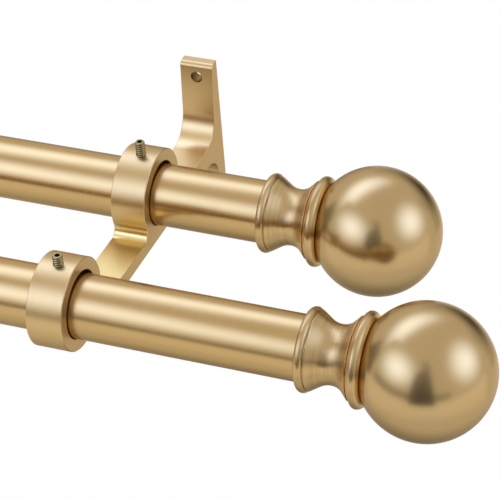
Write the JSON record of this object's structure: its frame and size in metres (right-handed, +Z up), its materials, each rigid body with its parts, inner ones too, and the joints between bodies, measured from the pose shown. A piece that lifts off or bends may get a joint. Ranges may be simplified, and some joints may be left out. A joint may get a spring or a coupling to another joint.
{
  "type": "double curtain pole",
  "caption": "Double telescopic curtain pole in brushed gold: round poles carried by one-piece wall brackets with clamping rings, and ball finials on turned necks.",
  "frame": {"origin": "on the wall plane, midway between the two brackets, at the middle height of their wall plates", "axes": "+X along the poles towards the fixed finials, +Y into the wall, +Z up"},
  "size_m": [0.9436, 0.1694, 0.085],
  "materials": {
    "brushed_gold_tube": "steel tube, brushed round its girth and gold plated, satin",
    "champagne_bracket": "extruded aluminium, brushed and anodised champagne gold",
    "turned_gold_neck": "turned aluminium, satin gold",
    "satin_gold_ball": "spun steel shell, satin gold plate",
    "yellow_zinc_screw": "yellow zinc plate",
    "zinc_plated_stud": "bright zinc plate",
    "bronze_plastic": "moulded nylon, bronze brown"
  },
  "bodies": {
    "fixed_poles": {"bracket_left": "champagne_bracket", "bracket_right": "champagne_bracket", "grub_screws": "yellow_zinc_screw", "front_outer_tube": "brushed_gold_tube", "front_mouth_sleeve": "bronze_plastic", "front_right_end_plug": "bronze_plastic", "front_right_finial_neck": "turned_gold_neck", "front_right_finial_ball": "satin_gold_ball", "front_right_finial_stud": "zinc_plated_stud", "rear_outer_tube": "brushed_gold_tube", "rear_mouth_sleeve": "bronze_plastic", "rear_right_end_plug": "bronze_plastic", "rear_right_finial_neck": "turned_gold_neck", "rear_right_finial_ball": "satin_gold_ball", "rear_right_finial_stud": "zinc_plated_stud"},
    "front_extension": {"front_inner_tube": "brushed_gold_tube", "front_tail_glide": "bronze_plastic", "front_left_end_plug": "bronze_plastic", "front_left_finial_neck": "turned_gold_neck", "front_left_finial_ball": "satin_gold_ball", "front_left_finial_stud": "zinc_plated_stud"},
    "rear_extension": {"rear_inner_tube": "brushed_gold_tube", "rear_tail_glide": "bronze_plastic", "rear_left_end_plug": "bronze_plastic", "rear_left_finial_neck": "turned_gold_neck", "rear_left_finial_ball": "satin_gold_ball", "rear_left_finial_stud": "zinc_plated_stud"}
  },
  "joints": [
    {"name": "front_pole_slide", "type": "slide", "parent": "fixed_poles", "child": "front_extension", "axis": [-1, 0, 0], "range_m": [-0.0655, 0.452]},
    {"name": "rear_pole_slide", "type": "slide", "parent": "fixed_poles", "child": "rear_extension", "axis": [-1, 0, 0], "range_m": [-0.0223, 0.4952]}
  ]
}
